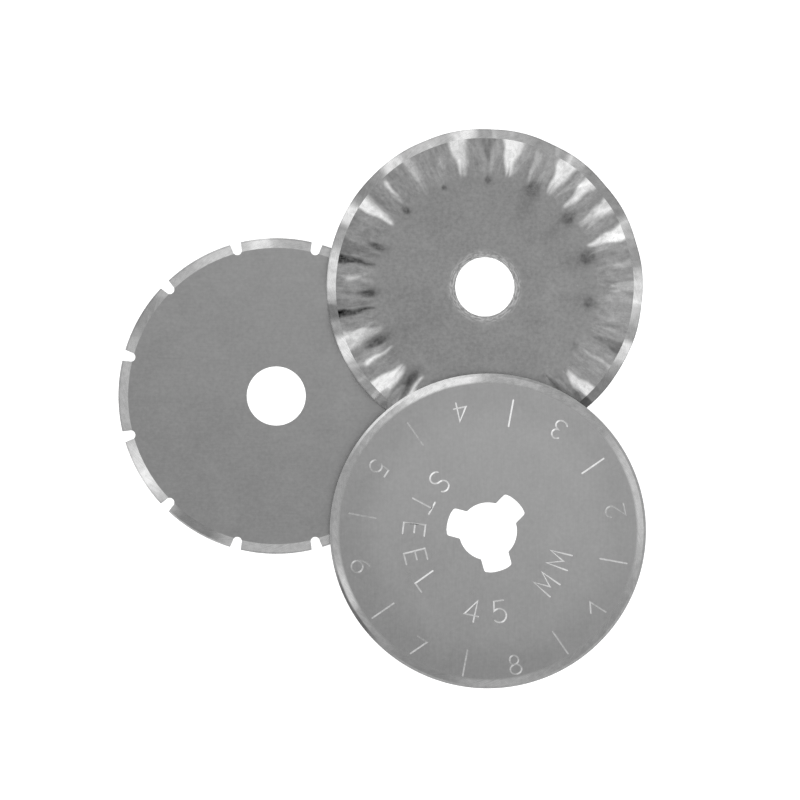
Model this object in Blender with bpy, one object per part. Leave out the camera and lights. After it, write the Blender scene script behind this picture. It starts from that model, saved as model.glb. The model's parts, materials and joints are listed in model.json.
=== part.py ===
"""Three loose 45 mm rotary-cutter blades, lying overlapped on a flat surface.

The perforating blade lies flat. The wave blade leans on it and on two of its own valleys.
The straight blade leans on a ridge of the wave blade, with its far rim on the surface.
Every blade is modelled about its own centre, mid-thickness at z = 0, then laid in place.
"""
import math

import bmesh
import bpy
from mathutils import Matrix, Vector

MM = 0.001

# All three blades fit the same cutter.
BLADE_RADIUS = 22.5 * MM
THICKNESS = 0.3 * MM
AXLE_HOLE_RADIUS = 4.2 * MM
RESTING_GAP = 0.3 * MM
SPIN_STEPS = 96

# Perforating blade: twelve slots break its cutting edge into dashes.
PERFORATING_PLACE = (-15.07 * MM, 1.81 * MM)
PERFORATING_GRIND = 1.4 * MM
SLOT_COUNT = 12
SLOT_START = math.radians(15)
SLOT_DEPTH = 1.7 * MM
SLOT_BOTTOM_RADIUS = 0.65 * MM
SLOT_FLARE = math.radians(8)

# Wave blade: a flat web, and fifteen flutes. Each ridge and valley opens from a tip on the web.
WAVE_PLACE = (14.63 * MM, 17.34 * MM)
WAVE_GRIND = 1.3 * MM
WAVE_COUNT = 15
WAVE_HEIGHT = 0.9 * MM
VALLEY_TIP_RADIUS = 14.9 * MM
RIDGE_TIP_RADIUS = 15.8 * MM
VALLEY_FLAT = 0.08
RIDGE_FLAT = 0.28
CREASE = 1.2
FLUTE_RINGS = 4
COLUMNS_PER_WAVE = 20
FIRST_VALLEY = math.radians(16.5)
PITCH = math.tau / WAVE_COUNT
RESTING_VALLEY = FIRST_VALLEY + 8 * PITCH
CARRYING_RIDGE = FIRST_VALLEY + 10.5 * PITCH

# Straight blade: a three-lobed hole, and a scale of eight ticks set off its centre.
STRAIGHT_PLACE = (15.07 * MM, -17.43 * MM)
STRAIGHT_GRIND = 1.4 * MM
LOBED_HOLE_RADIUS = 4.12 * MM
LOBE_COUNT = 3
LOBE_START = math.radians(45.5)
LOBE_RADIUS = 5.9 * MM
LOBE_HALF_WIDTH = 2.0 * MM
LOBE_FILLET = 0.45 * MM
TICK_COUNT = 8
TICK_START = math.radians(34.7)
TICK_CENTRE = (0.0, -1.0 * MM)
TICK_MIDDLE_RADIUS = 18.15 * MM
TICK_LENGTH = 3.8 * MM
TICK_WIDTH = 0.3 * MM
TICK_DEPTH = 0.06 * MM


def clear_scene():
    for old in list(bpy.data.objects):
        bpy.data.objects.remove(old, do_unlink=True)


def steel(name, grey, roughness):
    """A ground steel finish."""
    material = bpy.data.materials.new(name)
    material.use_nodes = True
    shader = material.node_tree.nodes["Principled BSDF"]
    shader.inputs["Base Color"].default_value = (grey, grey, grey, 1)
    shader.inputs["Metallic"].default_value = 1.0
    shader.inputs["Roughness"].default_value = roughness
    material.diffuse_color = (grey, grey, grey, 1)
    return material


def polar(radius, angle, z=0.0):
    return Vector((radius * math.cos(angle), radius * math.sin(angle), z))


def mesh_object(name, bm):
    """Link a bmesh to the scene as an object whose faces point out."""
    bmesh.ops.recalc_face_normals(bm, faces=bm.faces)
    mesh = bpy.data.meshes.new(name)
    bm.to_mesh(mesh)
    bm.free()
    made = bpy.data.objects.new(name, mesh)
    bpy.context.scene.collection.objects.link(made)
    return made


def finish_blade(blade, material, crease):
    blade.data.materials.append(material)
    blade.data.shade_smooth()
    blade.data.set_sharp_from_angle(angle=crease)


def turned_blade(hole_radius, grind, steps, rings=()):
    """Spin a blade's section: flat faces, then a grind that meets in the cutting edge.

    Each radius in rings adds a ring of points to both faces.
    """
    half = THICKNESS / 2
    radii = [hole_radius, *rings, BLADE_RADIUS - grind]
    section = [Vector((radius, 0, half)) for radius in radii]
    section.append(Vector((BLADE_RADIUS, 0, 0)))
    section += [Vector((radius, 0, -half)) for radius in reversed(radii)]
    bm = bmesh.new()
    points = [bm.verts.new(point) for point in section]
    loop = [bm.edges.new(pair) for pair in zip(points, points[1:] + points[:1])]
    bmesh.ops.spin(
        bm, geom=points + loop, axis=(0, 0, 1), cent=(0, 0, 0),
        angle=math.tau, steps=steps, use_merge=True,
    )
    bmesh.ops.remove_doubles(bm, verts=bm.verts, dist=0.0001 * MM)
    return bm


def prism(bm, outline, low, high):
    """Add a closed prism whose outline is a loop of points at z = 0."""
    floor = [bm.verts.new((point.x, point.y, low)) for point in outline]
    face = bm.faces.new(floor)
    walls = bmesh.ops.extrude_face_region(bm, geom=[face])
    top = [item for item in walls["geom"] if isinstance(item, bmesh.types.BMVert)]
    bmesh.ops.translate(bm, verts=top, vec=(0, 0, high - low))


def cut(blade, cutter):
    """Take the cutter's shapes out of the blade."""
    cutter.hide_render = True
    cutter.display_type = "WIRE"
    cutter.parent = blade
    boolean = blade.modifiers.new(cutter.name, "BOOLEAN")
    boolean.operation = "DIFFERENCE"
    boolean.solver = "EXACT"
    boolean.object = cutter


def arc(centre, radius, start, end, count):
    """Points along an arc, both ends included."""
    steps = [start + (end - start) * i / (count - 1) for i in range(count)]
    return [centre + polar(radius, angle) for angle in steps]


def slot_outline(angle):
    """One slot: a round bottom, and sides that flare out past the rim."""
    bottom = Vector((BLADE_RADIUS - SLOT_DEPTH + SLOT_BOTTOM_RADIUS, 0, 0))
    side = math.pi / 2 - SLOT_FLARE
    outline = arc(bottom, SLOT_BOTTOM_RADIUS, side, math.tau - side, 13)
    reach = BLADE_RADIUS + 0.5 * MM - bottom.x
    for corner in (outline[-1], outline[0]):
        flare = math.copysign(reach * math.tan(SLOT_FLARE), corner.y)
        outline.append(Vector((bottom.x + reach, corner.y + flare, 0)))
    turn = Matrix.Rotation(angle, 3, "Z")
    return [turn @ point for point in outline]


def perforating_blade():
    bm = turned_blade(AXLE_HOLE_RADIUS, PERFORATING_GRIND, SPIN_STEPS)
    blade = mesh_object("perforating_blade", bm)
    slots = bmesh.new()
    for i in range(SLOT_COUNT):
        outline = slot_outline(SLOT_START + i * math.tau / SLOT_COUNT)
        prism(slots, outline, -THICKNESS, THICKNESS)
    cut(blade, mesh_object("slot_cutter", slots))
    finish_blade(blade, steel("perforating_steel", 0.27, 0.34), math.radians(5))
    return blade


def swell(offset, flat):
    """A crest's section: level over its middle, then falling to nothing at an offset of 1."""
    fall = min(max((offset - flat) / (1 - flat), 0), 1)
    return (1 - fall) ** 2 * (1 + CREASE * fall)


def flute(point):
    """Carry a point of a flat disc up a ridge or down a valley."""
    radius = math.hypot(point.x, point.y)
    turn = (math.atan2(point.y, point.x) - FIRST_VALLEY) / PITCH
    across = 2 * abs(turn - round(turn))
    ridge = (radius - RIDGE_TIP_RADIUS) / (BLADE_RADIUS - RIDGE_TIP_RADIUS)
    valley = (radius - VALLEY_TIP_RADIUS) / (BLADE_RADIUS - VALLEY_TIP_RADIUS)
    wave = 0
    if ridge > 0:
        wave += ridge * swell((1 - across) / ridge, RIDGE_FLAT)
    if valley > 0:
        wave -= valley * swell(across / valley, VALLEY_FLAT)
    return Vector((point.x, point.y, point.z + WAVE_HEIGHT * wave))


def wave_blade():
    ring_gap = (BLADE_RADIUS - WAVE_GRIND - VALLEY_TIP_RADIUS) / FLUTE_RINGS
    rings = [VALLEY_TIP_RADIUS + i * ring_gap for i in range(FLUTE_RINGS)]
    bm = turned_blade(AXLE_HOLE_RADIUS, WAVE_GRIND, WAVE_COUNT * COLUMNS_PER_WAVE, rings)
    bmesh.ops.rotate(bm, verts=bm.verts, matrix=Matrix.Rotation(FIRST_VALLEY, 3, "Z"))
    for vert in bm.verts:
        vert.co = flute(vert.co)
    blade = mesh_object("wave_blade", bm)
    finish_blade(blade, steel("wave_steel", 0.26, 0.28), math.radians(20))
    return blade


def fillet(corner, before, after, radius, count=4):
    """Points that round a corner between its two neighbours."""
    towards = (before - corner).normalized()
    away = (after - corner).normalized()
    half = towards.angle(away) / 2
    middle = corner + (towards + away).normalized() * radius / math.sin(half)
    start = (corner + towards * radius / math.tan(half) - middle).normalized()
    end = (corner + away * radius / math.tan(half) - middle).normalized()
    return [middle + radius * start.slerp(end, i / (count - 1)) for i in range(count)]


def lobe_outline(angle):
    """One lobe of the axle hole: a parallel-sided notch with rounded tip corners."""
    inner = LOBED_HOLE_RADIUS - 0.9 * MM
    shoulder = math.sqrt(LOBE_RADIUS ** 2 - LOBE_HALF_WIDTH ** 2)
    low_base = Vector((inner, -LOBE_HALF_WIDTH, 0))
    high_base = Vector((inner, LOBE_HALF_WIDTH, 0))
    low_tip = Vector((shoulder, -LOBE_HALF_WIDTH, 0))
    high_tip = Vector((shoulder, LOBE_HALF_WIDTH, 0))
    crown = Vector((LOBE_RADIUS, 0, 0))
    outline = [low_base]
    outline += fillet(low_tip, low_base, crown, LOBE_FILLET)
    outline += [crown]
    outline += fillet(high_tip, crown, high_base, LOBE_FILLET)
    outline += [high_base]
    turn = Matrix.Rotation(angle, 3, "Z")
    return [turn @ point for point in outline]


def tick_cutter():
    """Eight V-shaped grooves that point at the scale's own centre."""
    top = THICKNESS / 2
    above = 0.1 * MM
    half_width = TICK_WIDTH / 2 * (TICK_DEPTH + above) / TICK_DEPTH
    ticks = bmesh.new()
    for i in range(TICK_COUNT):
        angle = TICK_START + i * math.tau / TICK_COUNT
        along = polar(TICK_LENGTH / 2, angle)
        across = polar(half_width, angle + math.pi / 2)
        middle = Vector((*TICK_CENTRE, 0)) + polar(TICK_MIDDLE_RADIUS, angle)
        rim = Vector((0, 0, top + above))
        keel = Vector((0, 0, top - TICK_DEPTH))
        end = [ticks.verts.new(middle - along + corner)
               for corner in (across + rim, keel, rim - across)]
        sides = bmesh.ops.extrude_face_region(ticks, geom=[ticks.faces.new(end)])
        moved = [item for item in sides["geom"] if isinstance(item, bmesh.types.BMVert)]
        bmesh.ops.translate(ticks, verts=moved, vec=2 * along)
    return mesh_object("tick_cutter", ticks)


def straight_blade():
    bm = turned_blade(LOBED_HOLE_RADIUS, STRAIGHT_GRIND, SPIN_STEPS)
    blade = mesh_object("straight_blade", bm)
    lobes = bmesh.new()
    for i in range(LOBE_COUNT):
        outline = lobe_outline(LOBE_START + i * math.tau / LOBE_COUNT)
        prism(lobes, outline, -THICKNESS, THICKNESS)
    cut(blade, mesh_object("lobe_cutter", lobes))
    cut(blade, tick_cutter())
    finish_blade(blade, steel("straight_steel", 0.31, 0.30), math.radians(5))
    return blade


def lay(blade, place, height, rise_angle=0.0, tilt=0.0):
    """Set a blade's centre, and tip it so that it rises towards rise_angle."""
    axis = polar(1, rise_angle - math.pi / 2)
    blade.rotation_mode = "QUATERNION"
    blade.rotation_quaternion = Matrix.Rotation(tilt, 3, axis).to_quaternion()
    blade.location = (*place, height)


def lay_wave_blade(blade):
    """One valley over the perforating blade, the two valleys opposite on the surface."""
    run = BLADE_RADIUS * (1 + math.cos(PITCH / 2))
    tilt = math.asin((THICKNESS + RESTING_GAP) / run)
    lay(blade, WAVE_PLACE, 0, RESTING_VALLEY, tilt)
    bpy.context.view_layer.update()
    lowest = min((blade.matrix_world @ vert.co).z for vert in blade.data.vertices)
    blade.location.z = -lowest


def lay_straight_blade(blade, wave):
    """Underside on a ridge of the wave blade, and the ground rim opposite on the surface."""
    bpy.context.view_layer.update()
    ridge = wave.matrix_world @ polar(BLADE_RADIUS, CARRYING_RIDGE, WAVE_HEIGHT)
    out = ridge.xy - Vector(STRAIGHT_PLACE)
    flat_radius = BLADE_RADIUS - STRAIGHT_GRIND
    tilt = math.asin((ridge.z + RESTING_GAP) / (out.length + flat_radius))
    height = flat_radius * math.sin(tilt) + THICKNESS / 2 * math.cos(tilt)
    lay(blade, STRAIGHT_PLACE, height, math.atan2(out.y, out.x), tilt)


def build():
    clear_scene()
    lay(perforating_blade(), PERFORATING_PLACE, THICKNESS / 2)
    wave = wave_blade()
    lay_wave_blade(wave)
    lay_straight_blade(straight_blade(), wave)


build()
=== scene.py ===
"""Looks for the three loose 45 mm rotary-cutter blades: mesh, steel, light and camera.

Each blade is made about its own centre, mid-thickness at z = 0, and set where the frame
holds its CAD solid. Lengths are in metres, written as a number times MM.
"""
import json
import math
from typing import NamedTuple

import bmesh
import bpy
import numpy as np
from mathutils import Matrix, Vector


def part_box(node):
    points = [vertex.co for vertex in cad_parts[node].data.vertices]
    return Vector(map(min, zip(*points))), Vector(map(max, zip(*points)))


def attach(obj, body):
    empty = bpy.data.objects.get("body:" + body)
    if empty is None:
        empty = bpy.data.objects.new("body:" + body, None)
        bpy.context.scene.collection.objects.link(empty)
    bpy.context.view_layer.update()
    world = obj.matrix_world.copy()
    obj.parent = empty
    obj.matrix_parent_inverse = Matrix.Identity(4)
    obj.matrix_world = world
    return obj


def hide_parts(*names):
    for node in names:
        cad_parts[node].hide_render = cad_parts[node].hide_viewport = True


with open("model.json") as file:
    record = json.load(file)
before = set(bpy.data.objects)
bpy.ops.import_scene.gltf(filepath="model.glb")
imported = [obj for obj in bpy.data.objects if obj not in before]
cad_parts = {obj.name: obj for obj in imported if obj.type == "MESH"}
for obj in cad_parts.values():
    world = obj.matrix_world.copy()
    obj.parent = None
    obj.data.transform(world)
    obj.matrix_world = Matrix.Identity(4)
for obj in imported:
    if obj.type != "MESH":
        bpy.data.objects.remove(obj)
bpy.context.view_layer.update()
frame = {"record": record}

MM = 0.001

RADIUS = 22.5 * MM
HALF = 0.15 * MM
HOLE = 4.2 * MM
GRIND = 1.4 * MM
WAVE_GRIND = 1.3 * MM
EDGE_LAND = 0.012 * MM
ROLL = 0.03 * MM
CREASE = 0.05 * MM
SAME_PLACE = 0.00005 * MM
ROUND_COLUMNS = 480
# The order of each blade's materials; the underside's comes last.
WEB_BAND, GRIND_BAND, EDGE_BAND, MARKS_BAND, SHADED_MARKS_BAND = range(5)

WAVES = 15
PITCH = math.tau / WAVES
FIRST_VALLEY = math.radians(16.5)
WAVE_HEIGHT = 0.9 * MM
VALLEY_START = 14.9 * MM
RIDGE_START = 15.8 * MM
# The share of a crest's half width that is level, and how full its flanks are below that.
VALLEY_FLAT = 0.08
RIDGE_FLAT = 0.28
FLANK_FULLNESS = 1.2
WEB_RING = 9 * MM
RINGS_START = 14.0 * MM
FLUTE_RINGS = 34
FLUTE_COLUMNS = 48
DIMPLE_RADIUS = 15.35 * MM
DIMPLE_SIZE = 0.55 * MM
DIMPLE_DEPTH = 0.045 * MM


# ---------------------------------------------------------------- placing

def place_of(node, mount=None):
    """Where a blade's own frame sits: the middle of its CAD box, square to its flat face."""
    low, high = (Vector(corner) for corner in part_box(node))
    normal = Vector((0, 0, 1))
    for entry in frame["record"]["mounts"]:
        if entry["name"] == mount:
            normal = Vector(entry["axis"]).normalized()
    turn = Vector((0, 0, 1)).rotation_difference(normal)
    return Matrix.Translation((low + high) / 2) @ turn.to_matrix().to_4x4()


def dress(piece, node, mount=None):
    """Note each point's own blade coordinates in millimetres, then move the mesh to its place.

    The blade's last material goes on its flat underside.
    """
    mesh = piece.data
    for face in mesh.polygons:
        if face.normal.z < -0.5 and face.material_index == WEB_BAND:
            face.material_index = len(mesh.materials) - 1
    points = np.empty(len(mesh.vertices) * 3, np.float32)
    mesh.vertices.foreach_get("co", points)
    spot = mesh.attributes.new("spot", "FLOAT_VECTOR", "POINT")
    spot.data.foreach_set("vector", points / MM)
    mesh.transform(place_of(node, mount))
    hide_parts(node)
    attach(piece, node)


# ---------------------------------------------------------------- mesh tools

def polar(radius, angle, z=0.0):
    return Vector((radius * math.cos(angle), radius * math.sin(angle), z))


def mirrored(section):
    """A section's upper half, from the hole to the rim, with its lower half behind it."""
    return section + [(radius, -z, band) for radius, z, band in reversed(section)]


def turned(name, section, columns, shape=None):
    """Turn a closed section into a ring-shaped mesh.

    Each section point is (radius, height, material of the strip that follows it).
    shape moves the whole grid of points, given and returned as arrays.
    """
    radius, height, band = (np.array(row) for row in zip(*section))
    angle = np.arange(columns) * math.tau / columns
    r, a = np.meshgrid(radius, angle)
    z = np.broadcast_to(height, r.shape).copy()
    if shape is not None:
        r, a, z = shape(r, a, z)
    points = np.stack([r * np.cos(a), r * np.sin(a), z], axis=-1).reshape(-1, 3)
    rows = len(section)
    here = np.arange(columns)[:, None] * rows + np.arange(rows)
    across = np.roll(here, -1, axis=1)
    around = np.roll(here, -1, axis=0)
    both = np.roll(across, -1, axis=0)
    faces = np.stack([here, around, both, across], axis=-1).reshape(-1, 4)
    mesh = bpy.data.meshes.new(name)
    mesh.from_pydata(points.tolist(), [], faces[:, ::-1].tolist())
    bands = np.tile(band, columns).astype(np.int32)
    mesh.polygons.foreach_set("material_index", bands)
    mesh.validate()
    made = bpy.data.objects.new(name, mesh)
    bpy.context.scene.collection.objects.link(made)
    return made


def ground_section(grind, edge_width, edge_angle, web_rings=(), flute_rings=(), hole=HOLE):
    """Upper half of a blade's section: hole edge, flat, grind and the finer cutting edge."""
    start = RADIUS - grind
    edge = RADIUS - edge_width
    edge_z = EDGE_LAND + edge_width * math.tan(edge_angle)
    slope = (HALF - edge_z) / (edge - start)
    hole_edge = [(0, 2), (0.3, 0.7), (1, 0.15), (2.2, 0)]
    section = [(hole + out * ROLL, HALF - down * ROLL, WEB_BAND) for out, down in hole_edge]
    section += [(radius, HALF, WEB_BAND) for radius in web_rings]
    section += [(radius, HALF, WEB_BAND) for radius in flute_rings if radius < start - CREASE]
    section += [(start - CREASE, HALF, WEB_BAND)]
    section += [(start, HALF - 0.25 * CREASE * slope, GRIND_BAND)]
    across = np.linspace(start + CREASE, edge, 5)[:-1]
    section += [(radius, HALF - (radius - start) * slope, GRIND_BAND) for radius in across]
    for share in (1, 0.3, 0):
        height = EDGE_LAND + share * (edge_z - EDGE_LAND)
        section += [(RADIUS - share * edge_width, height, EDGE_BAND)]
    return section


def clean(piece, sharp_degrees):
    """Merge doubled points, turn faces out, and make all smooth but folds past an angle."""
    mesh = piece.data
    bm = bmesh.new()
    bm.from_mesh(mesh)
    bmesh.ops.remove_doubles(bm, verts=bm.verts, dist=SAME_PLACE)
    bmesh.ops.recalc_face_normals(bm, faces=bm.faces)
    bm.to_mesh(mesh)
    bm.free()
    mesh.shade_smooth()
    mesh.set_sharp_from_angle(angle=math.radians(sharp_degrees))


def prism(bm, outline, low, high):
    floor = [bm.verts.new((point.x, point.y, low)) for point in outline]
    walls = bmesh.ops.extrude_face_region(bm, geom=[bm.faces.new(floor)])
    top = [item for item in walls["geom"] if isinstance(item, bmesh.types.BMVert)]
    bmesh.ops.translate(bm, verts=top, vec=(0, 0, high - low))


def cut(piece, bm, overlapping=False):
    """Take a cutter's closed shapes out of a piece, and leave no cutter behind."""
    bmesh.ops.recalc_face_normals(bm, faces=bm.faces)
    mesh = bpy.data.meshes.new("cutter")
    bm.to_mesh(mesh)
    bm.free()
    cutter = bpy.data.objects.new("cutter", mesh)
    bpy.context.scene.collection.objects.link(cutter)
    boolean = piece.modifiers.new("cut", "BOOLEAN")
    boolean.operation = "DIFFERENCE"
    boolean.solver = "EXACT"
    boolean.use_self = overlapping
    boolean.object = cutter
    graph = bpy.context.evaluated_depsgraph_get()
    result = bpy.data.meshes.new_from_object(piece.evaluated_get(graph), depsgraph=graph)
    piece.modifiers.remove(boolean)
    piece.data = result
    bpy.data.objects.remove(cutter, do_unlink=True)


# ---------------------------------------------------------------- node tools

class Nodes:
    """Short names for wiring a material's node tree."""

    def __init__(self, tree):
        self.tree = tree
        self.tree.nodes.clear()

    def add(self, kind, **inputs):
        node = self.tree.nodes.new(kind)
        for name, value in inputs.items():
            self.set(node.inputs[name.replace("_", " ")], value)
        return node

    def set(self, socket, value):
        if isinstance(value, bpy.types.NodeSocket):
            self.tree.links.new(value, socket)
        else:
            socket.default_value = value

    def math(self, operation, *values, clamp=False):
        node = self.tree.nodes.new("ShaderNodeMath")
        node.operation = operation
        node.use_clamp = clamp
        for socket, value in zip(node.inputs, values):
            self.set(socket, value)
        return node.outputs[0]

    def between(self, value, low, high, start=0.0, end=1.0, smooth=True):
        """Carry low..high to start..end, and hold the ends."""
        node = self.tree.nodes.new("ShaderNodeMapRange")
        node.interpolation_type = "SMOOTHSTEP" if smooth else "LINEAR"
        for socket, number in zip(node.inputs, (value, low, high, start, end)):
            self.set(socket, number)
        return node.outputs[0]

    def spread(self, noise, low, high, span=0.2):
        """Carry a noise, from span below its middle to span above it, to low..high."""
        return self.between(noise, 0.5 - span, 0.5 + span, low, high, smooth=False)

    def vector(self, x, y):
        return self.add("ShaderNodeCombineXYZ", X=x, Y=y).outputs[0]

    def noise(self, vector, scale, detail, roughness, distortion=0.0):
        node = self.add("ShaderNodeTexNoise", Vector=vector, Scale=scale, Detail=detail,
                        Roughness=roughness, Distortion=distortion)
        return node.outputs["Fac"]

    def grey(self, value):
        return self.add("ShaderNodeCombineColor", Red=value, Green=value, Blue=value).outputs[0]

    def attribute(self, name):
        node = self.tree.nodes.new("ShaderNodeAttribute")
        node.attribute_name = name
        return node.outputs["Fac"]


class Spot(NamedTuple):
    """Where a shaded point lies on its blade: its place in millimetres, and its angle in radians."""
    point: bpy.types.NodeSocket
    x: bpy.types.NodeSocket
    y: bpy.types.NodeSocket
    radius: bpy.types.NodeSocket
    angle: bpy.types.NodeSocket


def spot_nodes(n):
    spot = n.tree.nodes.new("ShaderNodeAttribute")
    spot.attribute_name = "spot"
    point = spot.outputs["Vector"]
    split = n.add("ShaderNodeSeparateXYZ", Vector=point)
    x, y = split.outputs["X"], split.outputs["Y"]
    radius = n.math("SQRT", n.math("ADD", n.math("MULTIPLY", x, x), n.math("MULTIPLY", y, y)))
    return Spot(point, x, y, radius, n.math("ARCTAN2", y, x))


def sloped(n, spot, shade, painted_light_slope):
    """Add a painted light gradient to a shade: what it gains per millimetre along X and along Y."""
    for socket, gain in zip((spot.x, spot.y), painted_light_slope):
        shade = n.math("ADD", shade, n.math("MULTIPLY", socket, gain))
    return shade


def around_noise(n, spot, around, outwards, detail, roughness, distortion=0.0):
    """Noise about the blade's centre, with one scale per radian and another per millimetre."""
    point = n.vector(n.math("MULTIPLY", spot.angle, around), n.math("MULTIPLY", spot.radius, outwards))
    return n.noise(point, 1.0, detail, roughness, distortion)


def metal(name):
    material = bpy.data.materials.new(name)
    material.use_nodes = True
    return material, Nodes(material.node_tree)


def finish_metal(n, tone, roughness, height, depth):
    """Metal of a given tone and roughness over a fine relief, depth in metres."""
    bump = n.add("ShaderNodeBump", Height=height, Distance=depth, Strength=1.0)
    shader = n.add("ShaderNodeBsdfPrincipled", Base_Color=n.grey(tone), Metallic=1.0,
                   Roughness=roughness, Normal=bump.outputs[0])
    n.add("ShaderNodeOutputMaterial", Surface=shader.outputs[0])


# ---------------------------------------------------------------- steel finishes

# Two radii each, in millimetres: where a finish starts to change, and where it has changed.
# WEB_DARKENS holds the radii of the web's painted shade near the rim.
WEB_DARKENS = (14.0, 20.0)
GRIND_COMES = (21.0, 21.5)
RIM_SHADOW_COMES = (21.95, 22.09)
SCUFFS_GO = (4.5, 5.6)
FLUTES_COME = (14.6, 17.5)
WORDS_GO = (14.2, 14.8)
# Distances to the right of the centre, in millimetres, between which the wave web's flecks come.
FLECKS_COME = (0.0, 9.0)
# The tone that the flutes' painted highlights are brought towards.
PAINTED_HIGHLIGHT_TONE = 0.98
# How far the grinding marks lean, in radians for each millimetre outwards.
GRIND_SKEW = 0.12
# The share of a sector's half width that has its whole change of tone.
SECTOR_CORE = 0.35


def rolled_pattern(n, spot, grain_angle, painted_light_slope, smudge, speckled):
    """Cold-rolled strip: fine parallel grain, speckle and faint cloudy smudges.

    Its tone slope is painted light: how much lighter the strip is painted per millimetre along
    X and along Y.
    Gives the change of tone, the change of roughness and the relief.
    """
    turn = math.radians(grain_angle)
    cosine, sine = math.cos(turn), math.sin(turn)
    along = n.math("ADD", n.math("MULTIPLY", spot.x, cosine), n.math("MULTIPLY", spot.y, sine))
    over = n.math("SUBTRACT", n.math("MULTIPLY", spot.y, cosine), n.math("MULTIPLY", spot.x, sine))
    stretched = n.vector(n.math("MULTIPLY", along, 0.25), n.math("MULTIPLY", over, 4.0))
    grain = n.noise(stretched, scale=1.0, detail=4.0, roughness=0.65)
    speckle = n.noise(spot.point, scale=1.9, detail=3.0, roughness=0.65)
    cloud = n.noise(spot.point, scale=0.16, detail=4.0, roughness=0.6, distortion=0.6)
    shade = n.math("ADD", n.spread(grain, -0.035, 0.035, 0.25),
                   n.spread(speckle, -speckled, speckled, 0.25))
    shade = n.math("ADD", shade, n.spread(cloud, -smudge, smudge))
    relief = n.math("ADD", grain, n.math("MULTIPLY", speckle, 0.4))
    return sloped(n, spot, shade, painted_light_slope), n.spread(cloud, -0.03, 0.03), relief


def rolled_steel(name, tone, roughness, grain_angle, painted_light_slope, smudge=0.025, speckled=0.04, fall=0.0):
    """Rolled strip; fall is how much darker it is painted near the rim, as painted shade."""
    material, n = metal(name)
    spot = spot_nodes(n)
    shade, blur, relief = rolled_pattern(n, spot, grain_angle, painted_light_slope, smudge, speckled)
    if fall:
        # Painted shade: the strip is painted darker towards the rim.
        shade = n.math("ADD", shade, n.between(spot.radius, *WEB_DARKENS, 0.0, -fall))
    colour = n.math("MULTIPLY", n.math("ADD", shade, 1.0), tone)
    finish_metal(n, colour, n.math("ADD", roughness, blur), relief, depth=0.0012 * MM)
    return material


def paint_sector_light(n, angle, shade, sectors):
    """Add painted highlights and painted shade in sectors: (angle in degrees, half width in degrees,
    change of tone).
    """
    for degrees, half_width, change in sectors:
        off = n.math("SUBTRACT", angle, math.radians(degrees))
        off = n.math("ABSOLUTE", n.math("WRAP", off, math.pi, -math.pi))
        inner, outer = math.radians(half_width * SECTOR_CORE), math.radians(half_width)
        shade = n.math("ADD", shade, n.between(off, inner, outer, change, 0.0))
    return shade


def ground_steel(name, tone, roughness, sectors, shadowed=(), web=None):
    """A ground rim: fine marks across the edge, and painted highlights and painted shade in sectors
    round it.

    shadowed are sectors where the outer part of the rim has a painted shadow. web, if given, is the
    tone and painted light slope of the flat, from which the grind starts without a hard line.
    """
    material, n = metal(name)
    spot = spot_nodes(n)
    skewed = n.math("ADD", spot.angle, n.math("MULTIPLY", spot.radius, GRIND_SKEW))
    marks = around_noise(n, spot._replace(angle=skewed), around=70.0, outwards=0.5, detail=3.0,
                         roughness=0.6)
    mottle = n.noise(spot.point, scale=1.2, detail=3.0, roughness=0.6)
    uneven = n.math("ADD", n.spread(marks, 0.85, 1.15, 0.25), n.spread(mottle, -0.14, 0.14, 0.25))
    # Painted shadow on the outer rim in the shadowed sectors, and painted highlights and painted shade
    # in the given sectors.
    dark = n.math("MULTIPLY", paint_sector_light(n, spot.angle, 0.0, shadowed),
                  n.between(spot.radius, *RIM_SHADOW_COMES))
    shade = n.math("ADD", paint_sector_light(n, spot.angle, 1.0, sectors), dark)
    colour = n.math("MULTIPLY", n.math("MULTIPLY", shade, uneven), tone, clamp=True)
    if web is not None:
        web_tone, painted_light_slope = web
        flat = n.math("MULTIPLY", sloped(n, spot, 1.0, painted_light_slope), web_tone)
        grown = n.between(spot.radius, *GRIND_COMES)
        colour = n.math("ADD", n.math("MULTIPLY", colour, grown),
                        n.math("MULTIPLY", flat, n.math("SUBTRACT", 1.0, grown)))
    rough = n.spread(mottle, roughness - 0.04, roughness + 0.05)
    rough = n.math("ADD", rough, n.math("MULTIPLY", n.attribute("dull"), 0.4), clamp=True)
    finish_metal(n, colour, rough, marks, depth=0.0015 * MM)
    return material


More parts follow.
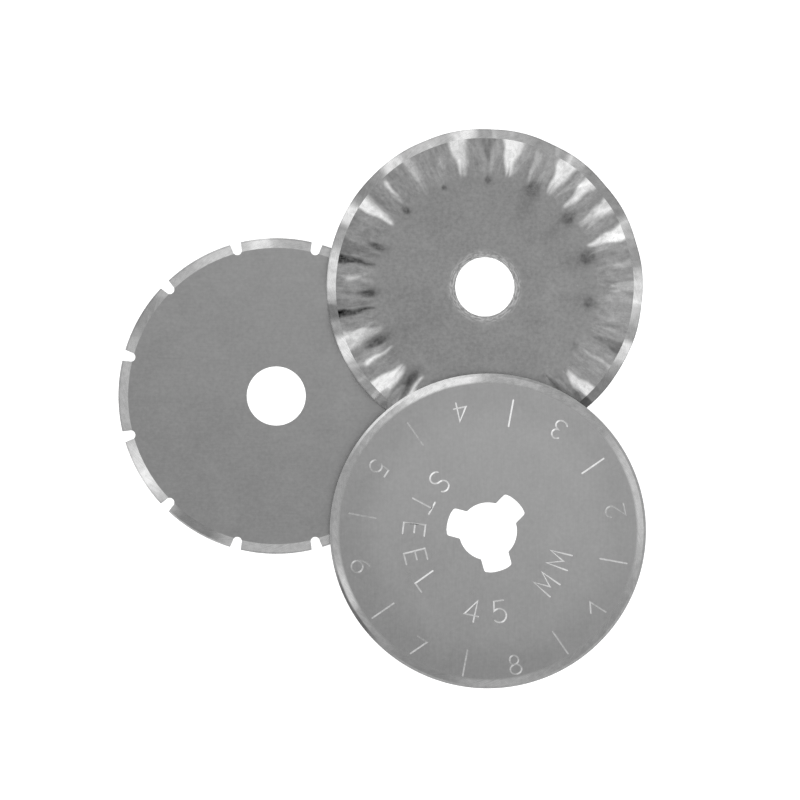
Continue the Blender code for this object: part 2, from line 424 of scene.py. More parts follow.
def pressed_steel(name, tone, web_roughness, flute_roughness, painted_light_slope):
    """A rolled web with scratches round its hole, and flutes with painted highlights and painted shade.
    """
    material, n = metal(name)
    spot = spot_nodes(n)
    shade, blur, relief = rolled_pattern(n, spot, 0, painted_light_slope, smudge=0.07, speckled=0.15)
    fluted = n.between(spot.radius, *FLUTES_COME)
    rub = around_noise(n, spot, around=34.0, outwards=0.35, detail=4.0, roughness=0.6)
    mottle = n.noise(spot.point, scale=1.1, detail=4.0, roughness=0.65, distortion=0.8)
    uneven = n.math("ADD", n.spread(rub, -0.08, 0.26), n.spread(mottle, -0.14, 0.14))
    shade = n.math("ADD", shade, n.math("MULTIPLY", uneven, fluted))
    scratches = around_noise(n, spot, around=5.0, outwards=5.0, detail=3.0, roughness=0.7,
                             distortion=0.5)
    scuffed = n.math("MULTIPLY", n.between(scratches, 0.42, 0.6, 0.0, 0.85),
                     n.between(spot.radius, *SCUFFS_GO, 1.0, 0.0))
    grit = n.noise(spot.point, scale=1.4, detail=4.0, roughness=0.7)
    flecks = n.math("MULTIPLY", n.between(grit, 0.62, 0.72, 0.0, 0.22), n.between(spot.x, *FLECKS_COME))
    shade = n.math("ADD", shade, n.math("ADD", scuffed, flecks))
    blotchy = n.spread(mottle, 0.55, 1.15, 0.15)
    # Painted shade in the valleys' dents and on some flanks, made blotchy.
    shade = n.math("SUBTRACT", shade, n.math("MULTIPLY", n.attribute("painted_shade"), blotchy))
    plain = n.math("MULTIPLY", n.math("ADD", shade, 1.0), tone, clamp=True)
    patchy = n.math("MULTIPLY", n.spread(rub, 0.8, 1.12), n.spread(mottle, 0.72, 1.2))
    # Painted highlights on the flutes, brought towards the highlight tone.
    bright = n.math("MULTIPLY", n.attribute("painted_highlight"), patchy, clamp=True)
    gain = n.math("MULTIPLY", bright, n.math("SUBTRACT", PAINTED_HIGHLIGHT_TONE, plain))
    colour = n.math("ADD", plain, gain, clamp=True)
    rough = n.math("ADD", n.math("ADD", web_roughness, blur),
                   n.math("MULTIPLY", fluted, flute_roughness - web_roughness))
    rough = n.math("ADD", rough, n.math("MULTIPLY", n.attribute("dull"), 0.45), clamp=True)
    creased = n.math("MULTIPLY", n.math("ADD", rub, n.math("MULTIPLY", mottle, 0.6)), fluted)
    relief = n.math("ADD", n.math("MULTIPLY", relief, 0.3), creased)
    finish_metal(n, colour, rough, relief, depth=0.004 * MM)
    return material


def underside_steel(name, grain_angle):
    return rolled_steel(name, tone=0.6, roughness=0.3, grain_angle=grain_angle, painted_light_slope=(0, 0))


def engraved_steel(name, tone, dial, words):
    """Fresh metal in the engraved grooves, with painted highlights and painted shade in some sectors of
    the dial and of the words.
    """
    material, n = metal(name)
    spot = spot_nodes(n)
    mottle = n.noise(spot.point, scale=2.5, detail=3.0, roughness=0.6)
    inner = n.between(spot.radius, *WORDS_GO, 1.0, 0.0)
    outer = n.math("SUBTRACT", 1.0, inner)
    shade = n.math("ADD", n.spread(mottle, -0.15, 0.15),
                   n.math("ADD", n.math("MULTIPLY", inner, paint_sector_light(n, spot.angle, 0.12, words)),
                          n.math("MULTIPLY", outer, paint_sector_light(n, spot.angle, 0.0, dial))))
    colour = n.math("MULTIPLY", n.math("ADD", shade, 1.0), tone, clamp=True)
    finish_metal(n, colour, roughness=0.22, height=mottle, depth=0.001 * MM)
    return material


# ---------------------------------------------------------------- blades

SLOTS = 12
SLOT_START = math.radians(15)
SLOT_DEPTH = 1.7 * MM
SLOT_ROUND = 0.65 * MM
SLOT_FLARE = math.radians(8)
SLOT_OVERRUN = 0.5 * MM


def add_looks(piece, materials):
    for material in materials:
        piece.data.materials.append(material)


def arc(centre, radius, start, end, count):
    steps = [start + (end - start) * i / (count - 1) for i in range(count)]
    return [centre + polar(radius, angle) for angle in steps]


def slot_outline(angle):
    """One rim slot: a round bottom, and sides that flare out past the rim."""
    bottom = Vector((RADIUS - SLOT_DEPTH + SLOT_ROUND, 0, 0))
    side = math.pi / 2 - SLOT_FLARE
    outline = arc(bottom, SLOT_ROUND, side, math.tau - side, 33)
    reach = RADIUS + SLOT_OVERRUN - bottom.x
    for corner in (outline[-1], outline[0]):
        flare = math.copysign(reach * math.tan(SLOT_FLARE), corner.y)
        outline.append(Vector((bottom.x + reach, corner.y + flare, 0)))
    turn = Matrix.Rotation(angle, 3, "Z")
    return [turn @ point for point in outline]


def perforating_blade():
    section = mirrored(ground_section(GRIND, edge_width=0.22 * MM, edge_angle=math.radians(9)))
    blade = turned("perforating_disc", section, ROUND_COLUMNS)
    slots = bmesh.new()
    for i in range(SLOTS):
        prism(slots, slot_outline(SLOT_START + i * math.tau / SLOTS), -2 * HALF, 2 * HALF)
    cut(blade, slots)
    clean(blade, 3)
    # Painted highlights and painted shade round the rim, by sector; the web's tone slope below is
    # painted light too.
    sectors = [(208, 18, 0.7), (197, 8, -0.2), (212, 4, 0.35), (105, 22, 0.35), (96, 6, 0.45),
               (238, 15, -0.5), (148, 12, -0.3)]
    add_looks(blade, [
        rolled_steel("perforating_web", tone=0.306, roughness=0.34, grain_angle=0,
                     painted_light_slope=(0.003, 0.004), smudge=0.035, speckled=0.085),
        ground_steel("perforating_grind", tone=0.48, roughness=0.26, sectors=sectors),
        ground_steel("perforating_edge", tone=0.38, roughness=0.24, sectors=sectors + [(238, 18, 0.6)]),
        underside_steel("perforating_underside", grain_angle=0),
    ])
    dress(blade, "perforating_blade")


def swell(offset, flat):
    """A crest's section: level over its middle, then falling to nothing at an offset of 1."""
    fall = np.clip((offset - flat) / (1 - flat), 0, 1)
    return (1 - fall) ** 2 * (1 + FLANK_FULLNESS * fall)


def flute_place(r, a):
    """Where points lie among the flutes: ridge and valley reach, and offset from the valley."""
    turn = (a - FIRST_VALLEY) / PITCH
    across = 2 * np.abs(turn - np.round(turn))
    ridge = np.clip((r - RIDGE_START) / (RADIUS - RIDGE_START), 1e-6, 1)
    valley = np.clip((r - VALLEY_START) / (RADIUS - VALLEY_START), 1e-6, 1)
    return ridge, valley, across


def dimple(r, across):
    """1 in the middle of the dent where a valley starts, fading to 0 about it."""
    return np.exp(-((r * across * PITCH / 2) ** 2 + (r - DIMPLE_RADIUS) ** 2) / DIMPLE_SIZE ** 2)


def flute(r, a, z):
    """Press a flat disc's grid into flutes that open from tips on the web."""
    ridge, valley, across = flute_place(r, a)
    up = ridge * swell((1 - across) / ridge, RIDGE_FLAT)
    down = valley * swell(across / valley, VALLEY_FLAT)
    return r, a, z + WAVE_HEIGHT * (up - down) - DIMPLE_DEPTH * dimple(r, across)


class Facet(NamedTuple):
    """A painted highlight shaped as a wedge on the flutes, or painted shade if its strength is below 0.

    Angles and half widths are in degrees, radii and blurs in millimetres.
    """
    angle: float
    half_width: float  # beyond the radius FACET_FULL, where the wedge has its whole width
    tip: float  # radius of its point
    strength: float
    fork: float = 0.0  # how clear the gap in its forked point is, from 0 to 1
    end: float = 23.0  # radius where it fades out
    soft: float = 0.0  # blur added to its clockwise side, or below 0 to the other side


class ValleyShade(NamedTuple):
    """Painted shade in the dent where a valley starts: angle in degrees, half width and radii in
    millimetres.
    """
    angle: float
    half_width: float
    start: float  # it lies from this radius
    end: float  # to this one
    strength: float


# Painted highlights and painted shade on the flutes, as wedges.
FACETS = [
    Facet(21.8, 3.0, 15.5, 1.0), Facet(33.6, 3.0, 15.8, 0.6, 0.3, soft=0.8),
    Facet(44.8, 2.6, 15.6, 0.85, soft=0.3), Facet(55.8, 3.8, 15.7, 0.88, 0.8, soft=0.4),
    Facet(67.6, 1.5, 15.7, 0.3, end=20.6), Facet(78.6, 4.1, 15.7, 1.0, 0.9, soft=0.4),
    Facet(88.6, 2.8, 17.5, -0.35), Facet(101.0, 3.5, 15.7, 0.75, 0.9, soft=1.0),
    Facet(109.4, 1.0, 17.5, 0.2, end=19.6), Facet(121.6, 2.2, 15.2, 0.3, 0.7, soft=0.5),
    Facet(120.0, 0.6, 16.5, 0.2), Facet(133.8, 1.0, 17.6, 0.75, end=20.6),
    Facet(134.8, 0.9, 16.6, 0.2, end=18.6), Facet(141.0, 2.0, 15.5, -0.16),
    Facet(145.5, 2.6, 15.5, 1.0, soft=0.8), Facet(163.5, 3.2, 15.2, -0.3),
    Facet(168.7, 1.9, 15.6, -0.85), Facet(176.3, 1.2, 15.8, 0.3, 0.5, end=19.6),
    Facet(187.2, 2.6, 15.0, -0.25), Facet(190.6, 1.7, 15.6, -0.95),
    Facet(201.4, 3.8, 15.4, 0.47, 0.5, soft=-0.4), Facet(212.8, 1.0, 15.4, 0.85, end=20.2),
    Facet(224.3, 4.6, 15.7, 1.0, 0.8, soft=-0.6), Facet(230.8, 2.6, 17.8, 0.5),
    Facet(235.0, 1.5, 15.2, 0.9), Facet(305.8, 2.8, 14.6, 0.16, soft=0.8),
    Facet(307.6, 3.4, 16.2, 0.3, soft=0.8), Facet(314.0, 3.4, 16.5, 0.85, 0.4),
    Facet(323.0, 0.8, 15.4, 0.2, end=17.2), Facet(327.5, 0.7, 16.6, 0.35),
    Facet(335.6, 2.6, 16.8, -0.5), Facet(341.0, 1.0, 17.6, 0.25, end=19.6),
    Facet(346.0, 2.2, 16.0, 0.12, 0.5), Facet(358.4, 0.8, 17.5, 0.45, end=19.2),
    Facet(360.4, 2.1, 17.8, 0.3), Facet(7.0, 2.0, 18.5, -0.2), Facet(9.5, 1.8, 16.3, 0.2, 0.5),
]
# Painted shade in the dents where the valleys start.
VALLEY_SHADES = [
    ValleyShade(16.0, 0.95, 14.1, 16.5, 0.53), ValleyShade(39.5, 0.85, 14.2, 16.9, 0.53),
    ValleyShade(64.0, 0.95, 14.2, 16.9, 0.58), ValleyShade(88.3, 0.45, 14.7, 16.0, 0.5),
    ValleyShade(112.3, 0.32, 14.9, 15.6, 0.6), ValleyShade(135.8, 0.42, 15.0, 16.4, 0.65),
    ValleyShade(159.4, 0.42, 15.2, 17.9, 0.66), ValleyShade(183.2, 0.52, 15.4, 18.3, 0.7),
    ValleyShade(206.9, 0.6, 15.3, 19.2, 0.7), ValleyShade(231.2, 0.55, 15.1, 18.2, 0.55),
    ValleyShade(255.5, 0.5, 14.8, 16.0, 0.3), ValleyShade(279.5, 0.5, 14.8, 16.0, 0.3),
    ValleyShade(303.4, 0.4, 14.9, 15.8, 0.35), ValleyShade(326.6, 0.45, 14.9, 15.8, 0.35),
    ValleyShade(351.2, 0.8, 14.2, 16.2, 0.5),
]
# A valley shade's width at its two ends, against its half width.
VALLEY_SHADE_START_WIDTH = 1.3
VALLEY_SHADE_END_WIDTH = 0.7
VALLEY_SHADE_PEAK = 1.5
VALLEY_SHADE_STEEPNESS = 1.05
# The radius, in millimetres, from which a facet has its whole width, and how it widens up to there.
FACET_FULL = 21.2
FACET_FLARE = 0.7
# The share of that length over which a facet comes in from its point.
FACET_POINT = 0.1
FACET_BLUR = 0.6 * MM
FACET_BEND = 0.1 * MM
FACET_BEND_LENGTH = 3.5 * MM
FACET_FADE = 0.9 * MM
FORK_GAP = 0.3 * MM
# The share of a facet's length where its fork ends, and how fast the fork's gap clears.
FORK_END = 0.5
FORK_STEEPNESS = 2.6
# Flanks that kept a coarse matt skin: angle and half width in degrees.
DULL_FLANKS = [(305.0, 9.0), (231.0, 6.0)]
DULL_COMES = 2 * MM


def fade(value):
    value = np.clip(value, 0, 1)
    return value * value * (3 - 2 * value)


def turned_from(degrees, angles):
    """Angles counted from a given one, in radians, between half a turn back and half a turn on."""
    return (angles - math.radians(degrees) + math.pi) % math.tau - math.pi


def valley_shaded(painted_shade, r, a):
    """How strongly a valley's painted shade shows at each point, from 0 to 1."""
    along = (r / MM - painted_shade.start) / (painted_shade.end - painted_shade.start)
    taper = VALLEY_SHADE_START_WIDTH + (VALLEY_SHADE_END_WIDTH - VALLEY_SHADE_START_WIDTH) * np.clip(along, 0, 1)
    across = turned_from(painted_shade.angle, a) * r / MM / (painted_shade.half_width * taper)
    lengthwise = VALLEY_SHADE_STEEPNESS * (2 * along - 1)
    return np.minimum(1, VALLEY_SHADE_PEAK * np.exp(-across ** 2 - lengthwise ** 2)) * painted_shade.strength


def facet_shown(facet, r, a):
    """How strongly a facet shows at each point, from 0 to 1: a slightly bent, soft-sided wedge."""
    reach = np.clip((r / MM - facet.tip) / (FACET_FULL - facet.tip), 0, 1)
    off = turned_from(facet.angle, a) * r
    off += FACET_BEND * np.sin(r / FACET_BEND_LENGTH * math.tau + facet.angle)
    half = math.radians(facet.half_width) * reach ** FACET_FLARE * r
    ahead = fade((half - off) / (FACET_BLUR + max(-facet.soft, 0) * MM) + 0.5)
    behind = fade((half + off) / (FACET_BLUR + max(facet.soft, 0) * MM) + 0.5)
    inside = np.minimum(ahead, behind) * np.clip(reach / FACET_POINT, 0, 1)
    inside *= fade((facet.end * MM - r) / FACET_FADE + 0.5)
    forked = facet.fork * np.clip(FORK_STEEPNESS * (FORK_END - reach), 0, 1)
    gap = forked * fade(1 - np.abs(off) / FORK_GAP)
    return inside * (1 - gap) * abs(facet.strength)


def paint_flutes(piece):
    """Note where the flutes have painted highlights, painted shade or a dull skin, for the finish."""
    mesh = piece.data
    points = np.empty(len(mesh.vertices) * 3, np.float32)
    mesh.vertices.foreach_get("co", points)
    x, y, _ = points.reshape(-1, 3).T
    r, a = np.hypot(x, y), np.arctan2(y, x)
    painted_highlight, painted_shade, dull = np.zeros((3, len(r)), np.float32)
    # Painted shade in the valleys' dents, then the facets' painted highlights and painted shade.
    for spot in VALLEY_SHADES:
        np.maximum(painted_shade, valley_shaded(spot, r, a), out=painted_shade)
    for facet in FACETS:
        layer = painted_highlight if facet.strength > 0 else painted_shade
        np.maximum(layer, facet_shown(facet, r, a), out=layer)
    for degrees, half_width in DULL_FLANKS:
        off = np.degrees(np.abs(turned_from(degrees, a)))
        flank = fade(2 - 2 * off / half_width) * fade((r - VALLEY_START) / DULL_COMES)
        np.maximum(dull, flank, out=dull)
    for name, values in (("painted_highlight", painted_highlight), ("painted_shade", painted_shade), ("dull", dull)):
        mesh.attributes.new(name, "FLOAT", "POINT").data.foreach_set("value", values)


def wave_blade():
    rings = np.linspace(RINGS_START, RADIUS - WAVE_GRIND, FLUTE_RINGS)
    section = mirrored(ground_section(WAVE_GRIND, edge_width=0.15 * MM, edge_angle=math.radians(10),
                                      web_rings=(WEB_RING,), flute_rings=rings))
    blade = turned("wave_disc", section, WAVES * FLUTE_COLUMNS, flute)
    clean(blade, 30)
    # Painted highlights and painted shade round the rim, by sector; the web's tone slope below is
    # painted light too.
    sectors = [(0, 9, 0.9), (24, 5, 0.4), (40, 24, -0.2), (54, 5, 0.6), (67, 6, -0.1), (80, 9, 0.2),
               (98, 7, 1.3), (113, 12, 0.5), (127, 6, 1.1), (140, 8, -0.25), (152, 6, 1.4),
               (173, 12, 1.0), (182, 5, 0.4), (189, 5, -0.4), (204, 7, 1.1), (219, 9, -0.1),
               (229, 5, 0.6), (316, 14, -0.4), (335, 6, 1.2), (350, 7, 0.5)]
    add_looks(blade, [
        pressed_steel("wave_face", tone=0.295, web_roughness=0.33, flute_roughness=0.24,
                      painted_light_slope=(0.003, 0.0)),
        ground_steel("wave_grind", tone=0.4, roughness=0.24, sectors=sectors),
        ground_steel("wave_edge", tone=0.33, roughness=0.24, sectors=sectors),
        underside_steel("wave_underside", grain_angle=0),
    ])
    paint_flutes(blade)
    dress(blade, "wave_blade", "wave_web_top")


# The engraver's alphabet: strokes on a grid one unit high. A stroke is a list of points and
# arcs; an arc is (centre x, centre y, half width, half height, start and end in degrees).
GLYPHS = {
    "1": [[(-0.06, 0.64), (0.42, 1), (0.42, 0)]],
    "2": [[(0.33, 0.70, 0.29, 0.30, 165, -38), (0.02, 0), (0.64, 0)]],
    "3": [[(0.30, 0.76, 0.25, 0.24, 150, -90), (0.30, 0.26, 0.31, 0.26, 90, -150)]],
    "4": [[(0.48, 0), (0.48, 1), (0.0, 0.30), (0.66, 0.30)]],
    "5": [[(0.58, 1), (0.14, 1), (0.08, 0.56), (0.30, 0.32, 0.31, 0.32, 125, -145)]],
    "6": [[(0.66, 0.30, 0.64, 0.70, 105, 180), (0.33, 0.30, 0.31, 0.30, 180, 540)]],
    "7": [[(0.02, 1), (0.62, 1), (0.20, 0)]],
    "8": [[(0.32, 0.76, 0.23, 0.24, -90, 270), (0.32, 0.26, 0.30, 0.26, 90, 450)]],
    "S": [[(0.32, 0.75, 0.27, 0.25, 35, 270), (0.32, 0.25, 0.29, 0.25, 90, -145)]],
    "T": [[(0.0, 1), (0.64, 1)], [(0.32, 1), (0.32, 0)]],
    "E": [[(0.58, 1), (0.06, 1), (0.06, 0), (0.58, 0)], [(0.06, 0.52), (0.48, 0.52)]],
    "L": [[(0.08, 1), (0.08, 0), (0.58, 0)]],
    "M": [[(0.0, 0), (0.06, 1), (0.36, 0.3), (0.66, 1), (0.72, 0)]],
}
GLYPH_WIDTH = 0.66
# Degrees between an arc's points, and the least step from a point to the next, in glyph heights.
ARC_STEP = 15
LEAST_STEP = 0.01
DIAL_MARKS = 8
DIAL_CENTRE = Vector((0, -1.0 * MM, 0))
DIAL_START = math.radians(34.7)
TICK_RADIUS = 18.15 * MM
TICK_LENGTH = 3.85 * MM
NUMERAL_RADIUS = 18.5 * MM
NUMERAL_HEIGHT = 2.7 * MM
WORD_RADIUS = 10.6 * MM
WORD_START = math.radians(130.7)
WORD_STEP = math.radians(21.2)
WORD_HEIGHT = 3.1 * MM
WORDS = "STEEL 45 MM"
GROOVE_HALF_WIDTH = 0.115 * MM
GROOVE_DEPTH = 0.046 * MM
GROOVE_ABOVE = 0.01 * MM
MITRE_LIMIT = 0.5


def stroke_points(stroke):
    """A stroke's points, with its arcs drawn out and no point on top of the one before."""
    points = []
    for item in stroke:
        if len(item) == 2:
            points.append(Vector(item))
            continue
        x, y, half_width, half_height, start, end = item
        count = max(3, round(abs(end - start) / ARC_STEP))
        for i in range(count + 1):
            angle = math.radians(start + (end - start) * i / count)
            points.append(Vector((x + half_width * math.cos(angle), y + half_height * math.sin(angle))))
    kept = points[:1]
    kept += [b for a, b in zip(points, points[1:]) if (b - a).length > LEAST_STEP]
    return kept


def groove(bm, points):
    """Sweep a shallow V along a line of points, with pointed ends."""
    ahead = [(b - a).normalized() for a, b in zip(points, points[1:])]
    before, after = [ahead[0]] + ahead, ahead + [ahead[-1]]
    half = GROOVE_HALF_WIDTH * (1 + GROOVE_ABOVE / GROOVE_DEPTH)
    top, keel = HALF + GROOVE_ABOVE, HALF - GROOVE_DEPTH
    rows = []
    for point, d1, d2 in zip(points, before, after):
        along = (d1 + d2).normalized()
        side = Vector((-along.y, along.x)) * half / max(MITRE_LIMIT, along.dot(d1))
        rows.append([bm.verts.new((*(point + side), top)), bm.verts.new((*point, keel)),
                     bm.verts.new((*(point - side), top))])
    for first, second in zip(rows, rows[1:]):
        for i in range(3):
            bm.faces.new((first[i], second[i], second[i - 2], first[i - 2]))
    for row, point, along in ((rows[0], points[0], -ahead[0]), (rows[-1], points[-1], ahead[-1])):
        tip = bm.verts.new((*(point + along * half), top))
        for i in range(3):
            bm.faces.new((tip, row[i], row[i - 2]))


def glyph_grooves(bm, letter, radius, angle, height):
    """Engrave one letter on a circle about the dial's centre, its top towards the centre."""
    for stroke in GLYPHS[letter]:
        points = []
        for point in stroke_points(stroke):
            across = (point.x - GLYPH_WIDTH / 2) * height
            out = radius + (0.5 - point.y) * height
            spot = DIAL_CENTRE + polar(out, angle) + polar(across, angle + math.pi / 2)
            points.append(spot.to_2d())
        groove(bm, points)


def dial_grooves():
    """Eight ticks and eight numerals round the rim, and two generic words round the hole."""
    bm = bmesh.new()
    step = math.tau / DIAL_MARKS
    for i in range(DIAL_MARKS):
        angle = DIAL_START + i * step
        ends = [DIAL_CENTRE + polar(TICK_RADIUS + side * TICK_LENGTH / 2, angle) for side in (-1, 1)]
        groove(bm, [end.to_2d() for end in ends])
        numeral = str((i + 1) % DIAL_MARKS + 1)
        glyph_grooves(bm, numeral, NUMERAL_RADIUS, angle - step / 2, NUMERAL_HEIGHT)
    for i, letter in enumerate(WORDS):
        if letter != " ":
            glyph_grooves(bm, letter, WORD_RADIUS, WORD_START + i * WORD_STEP, WORD_HEIGHT)
    return bm


LOBES = 3
LOBE_START = math.radians(45.5)
LOBED_HOLE = 4.12 * MM
LOBE_RADIUS = 5.9 * MM
LOBE_HALF_WIDTH = 2.0 * MM
LOBE_FOOT_ROUND = 0.25 * MM
LOBE_SHOULDER_ROUND = 0.45 * MM
# Angles from a lobe's foot, in radians: to the next point on the circle, and to where it is plain.
FOOT_NEXT = 0.1
FOOT_PLAIN = 0.09
# The share of a lobe's end that is left plain between its two rounded shoulders.
CROWN_SHARE = 0.6
EASED_POINTS = 6
# The turned disc's own hole, which lies inside the lobed one.
FIRST_HOLE = 3.0 * MM


def lobed_hole():
    """The outline of the axle hole: a circle with three square-shouldered lobes, corners eased."""
    centre = Vector((0, 0, 0))
    base = math.asin(LOBE_HALF_WIDTH / LOBED_HOLE)
    tip = math.asin(LOBE_HALF_WIDTH / LOBE_RADIUS)
    outline = []
    for i in range(LOBES):
        axis = LOBE_START + i * math.tau / LOBES
        feet = (-base - FOOT_NEXT, -base, base, base + FOOT_NEXT)
        before, foot, far_foot, after = (polar(LOBED_HOLE, axis + turn) for turn in feet)
        shoulder, crown, far_shoulder = (polar(LOBE_RADIUS, axis + turn) for turn in (-tip, 0, tip))
        outline += eased(foot, before, shoulder, LOBE_FOOT_ROUND)
        outline += eased(shoulder, foot, crown, LOBE_SHOULDER_ROUND)
        outline += arc(centre, LOBE_RADIUS, axis - CROWN_SHARE * tip, axis + CROWN_SHARE * tip, 5)
        outline += eased(far_shoulder, crown, far_foot, LOBE_SHOULDER_ROUND)
        outline += eased(far_foot, far_shoulder, after, LOBE_FOOT_ROUND)
        next_foot = axis + math.tau / LOBES - base
        outline += arc(centre, LOBED_HOLE, axis + base + FOOT_PLAIN, next_foot - FOOT_PLAIN, 17)
    return outline


def eased(corner, before, after, radius):
    """Points that round a corner between its two neighbours."""
    towards, away = (before - corner).normalized(), (after - corner).normalized()
    half = towards.angle(away) / 2
    middle = corner + (towards + away).normalized() * radius / math.sin(half)
    start = (corner + towards * radius / math.tan(half) - middle).normalized()
    end = (corner + away * radius / math.tan(half) - middle).normalized()
    steps = [i / (EASED_POINTS - 1) for i in range(EASED_POINTS)]
    return [middle + radius * start.slerp(end, step) for step in steps]


GROOVES_BETWEEN = (6.4 * MM, 21.0 * MM)
LEAST_SUNK = 0.001 * MM
# Groove walls facing this way get the painted-lit copy of the marks' steel, the rest the painted-shade
# copy.
LIT_WALLS_FACE = math.radians(148)
LIT_WALLS_LEAST = 0.72


def pick_mark_steels(blade):
    """Give the engraved grooves lit and shaded copies of one steel, as painted light and shade: the lit
    one where their walls face one way, the shaded one elsewhere.
    """
    lit_way = polar(1, LIT_WALLS_FACE).to_2d()
    inner, outer = GROOVES_BETWEEN
    for face in blade.data.polygons:
        sunk = abs(face.center.z) < HALF - LEAST_SUNK
        if sunk and inner < face.center.to_2d().length < outer:
            facing = abs(face.normal.to_2d().normalized().dot(lit_way))
            face.material_index = MARKS_BAND if facing > LIT_WALLS_LEAST else SHADED_MARKS_BAND


def straight_blade():
    section = mirrored(ground_section(GRIND, edge_width=0.35 * MM, edge_angle=math.radians(8),
                                      hole=FIRST_HOLE))
    blade = turned("straight_disc", section, ROUND_COLUMNS)
    hole = bmesh.new()
    prism(hole, lobed_hole(), -2 * HALF, 2 * HALF)
    cut(blade, hole)
    cut(blade, dial_grooves(), overlapping=True)
    clean(blade, 3)
    pick_mark_steels(blade)
    # Painted highlights and painted shade round the rim, by sector, and a painted shadow on the outer
    # rim where shadowed.
    sectors = [(108, 22, 1.5), (99, 8, 0.35), (137, 14, 0.25), (128, 10, 0.25), (15, 30, 0.55),
               (60, 20, 0.1), (80, 14, 0.35), (201, 13, 0.75), (194, 4, -0.15), (184, 13, 0.15),
               (226, 10, -0.12), (245, 20, -0.3), (315, 32, -0.22), (276, 12, 0.08), (350, 12, 0.1)]
    edge_sectors = [(118, 38, 1.35), (226, 14, -0.15)]
    shadowed = [(209, 18, -0.55)]
    # Painted highlights and painted shade on the engraved marks, by sector of the dial and of the
    # words.
    dial = [(84, 42, 0.5), (37, 14, 0.12), (138, 28, -0.09), (225, 85, -0.24), (183, 24, 0.05),
            (347, 10, 0.3), (10, 14, -0.1)]
    words = [(332, 28, 0.5), (135, 30, 0.25)]
    # Painted light and shade on the web: its tone slope paints one side lighter, and fall paints it
    # darker near the rim.
    tone, painted_light_slope, fall = 0.365, (0.0022, 0.0065), 0.11
    web_at_rim = (tone * (1 - fall), painted_light_slope)
    add_looks(blade, [
        rolled_steel("straight_web", tone, roughness=0.3, grain_angle=90, painted_light_slope=painted_light_slope, smudge=0.03,
                     speckled=0.06, fall=fall),
        ground_steel("straight_grind", tone=0.37, roughness=0.24, sectors=sectors,
                     shadowed=shadowed, web=web_at_rim),
        ground_steel("straight_edge", tone=0.36, roughness=0.22, sectors=edge_sectors,
                     shadowed=shadowed),
        # The marks' painted-lit copy and its painted-shade copy: the same steel in two tones.
        engraved_steel("straight_marks", tone=0.62, dial=dial, words=words),
        engraved_steel("straight_marks_shaded", tone=0.5, dial=dial, words=words),
        underside_steel("straight_underside", grain_angle=90),
    ])
    dress(blade, "straight_blade", "straight_top")


# ---------------------------------------------------------------- studio

FLOOR_SIZE = 3.0
FLOOR_GAP = 0.02 * MM
PAPER_TONE = 0.8
PAPER_GLOW = 0.75
# The tent's radiance straight up and round it, and the degrees from straight up where it changes.
TENT_ABOVE = 0.70
TENT_ROUND = 0.92
ABOVE_ENDS = (3, 12)
# Towards the horizon it loses this much, between these degrees from straight up.
HORIZON_FALL = 0.2
HORIZON_COMES = (55, 85)
TENT_DARKEST = 0.02
PATCH_SOFTNESS = 0.4
CAMERA_HEIGHT = 1.0
CAMERA_SENSOR = 36
SHOWN_WIDTH = 114.0 * MM
SHOWN_MIDDLE = (2.56 * MM, 1.24 * MM)


class Patch(NamedTuple):
    """A soft round patch on the tent: its place and half width in degrees, and what it adds."""
    zenith: float
    azimuth: float
    half_width: float
    added: float


PATCHES = [Patch(52, 90, 20, -0.12), Patch(52, 245, 18, -0.12), Patch(46, 308, 12, 0.35),
           Patch(46, 138, 12, 0.35)]


def studio_floor():
    bpy.ops.mesh.primitive_plane_add(size=FLOOR_SIZE, location=(0, 0, -FLOOR_GAP))
    floor = bpy.context.object
    floor.name = "floor"
    material, n = metal("paper")
    paper = n.add("ShaderNodeBsdfDiffuse", Color=(PAPER_TONE, PAPER_TONE, PAPER_TONE, 1))
    glow = n.add("ShaderNodeEmission", Color=(1, 1, 1, 1), Strength=PAPER_GLOW)
    both = n.tree.nodes.new("ShaderNodeAddShader")
    n.set(both.inputs[0], paper.outputs[0])
    n.set(both.inputs[1], glow.outputs[0])
    n.add("ShaderNodeOutputMaterial", Surface=both.outputs[0])
    floor.data.materials.append(material)


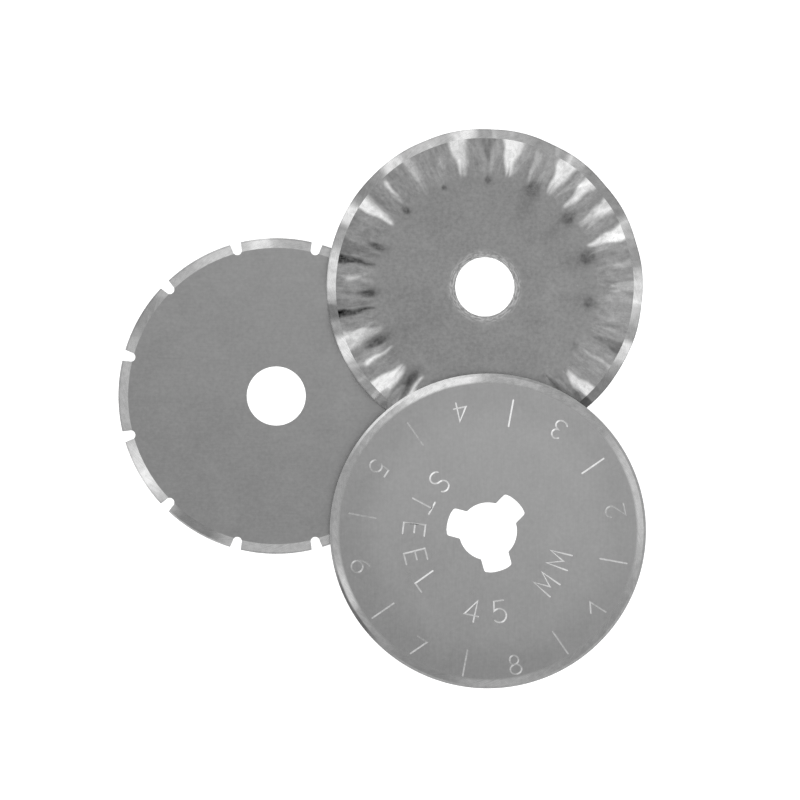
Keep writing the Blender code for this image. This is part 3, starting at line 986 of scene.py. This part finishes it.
def studio_world():
    """A bright tent, a little darker straight above and low down, with soft round patches."""
    world = bpy.data.worlds.new("studio")
    bpy.context.scene.world = world
    world.use_nodes = True
    n = Nodes(world.node_tree)
    direction = n.tree.nodes.new("ShaderNodeTexCoord").outputs["Generated"]
    zenith = n.math("ARCCOSINE", n.add("ShaderNodeSeparateXYZ", Vector=direction).outputs["Z"])
    total = n.between(zenith, *map(math.radians, ABOVE_ENDS), TENT_ABOVE, TENT_ROUND)
    low_down = n.between(zenith, *map(math.radians, HORIZON_COMES), 0.0, -HORIZON_FALL)
    total = n.math("ADD", total, low_down)
    for patch in PATCHES:
        from_top = math.radians(patch.zenith)
        middle = polar(math.sin(from_top), math.radians(patch.azimuth), math.cos(from_top))
        dot = n.add("ShaderNodeVectorMath", Vector=direction)
        dot.operation = "DOT_PRODUCT"
        dot.inputs[1].default_value = middle
        inner = math.cos(math.radians(patch.half_width * (1 - PATCH_SOFTNESS)))
        outer = math.cos(math.radians(patch.half_width * (1 + PATCH_SOFTNESS)))
        lit = n.between(dot.outputs["Value"], outer, inner, 0.0, patch.added)
        total = n.math("ADD", total, lit)
    total = n.math("MAXIMUM", total, TENT_DARKEST)
    light = n.add("ShaderNodeBackground", Color=(1, 1, 1, 1), Strength=total)
    backdrop = n.add("ShaderNodeBackground", Color=(1, 1, 1, 1), Strength=1.0)
    seen = n.tree.nodes.new("ShaderNodeLightPath").outputs["Is Camera Ray"]
    mix = n.tree.nodes.new("ShaderNodeMixShader")
    for socket, source in zip(mix.inputs, (seen, light.outputs[0], backdrop.outputs[0])):
        n.set(socket, source)
    n.add("ShaderNodeOutputWorld", Surface=mix.outputs[0])


def overhead_camera():
    """Looks straight down, a little right of and above the set's middle."""
    data = bpy.data.cameras.new("camera")
    data.sensor_width = CAMERA_SENSOR
    data.lens = CAMERA_SENSOR * CAMERA_HEIGHT / SHOWN_WIDTH
    data.clip_start = 0.01
    data.clip_end = 10
    camera = bpy.data.objects.new("camera", data)
    camera.location = (*SHOWN_MIDDLE, CAMERA_HEIGHT)
    bpy.context.scene.collection.objects.link(camera)
    bpy.context.scene.camera = camera


overhead_camera()
studio_world()
studio_floor()
perforating_blade()
wave_blade()
straight_blade()
bpy.context.scene.view_settings.view_transform = "Standard"
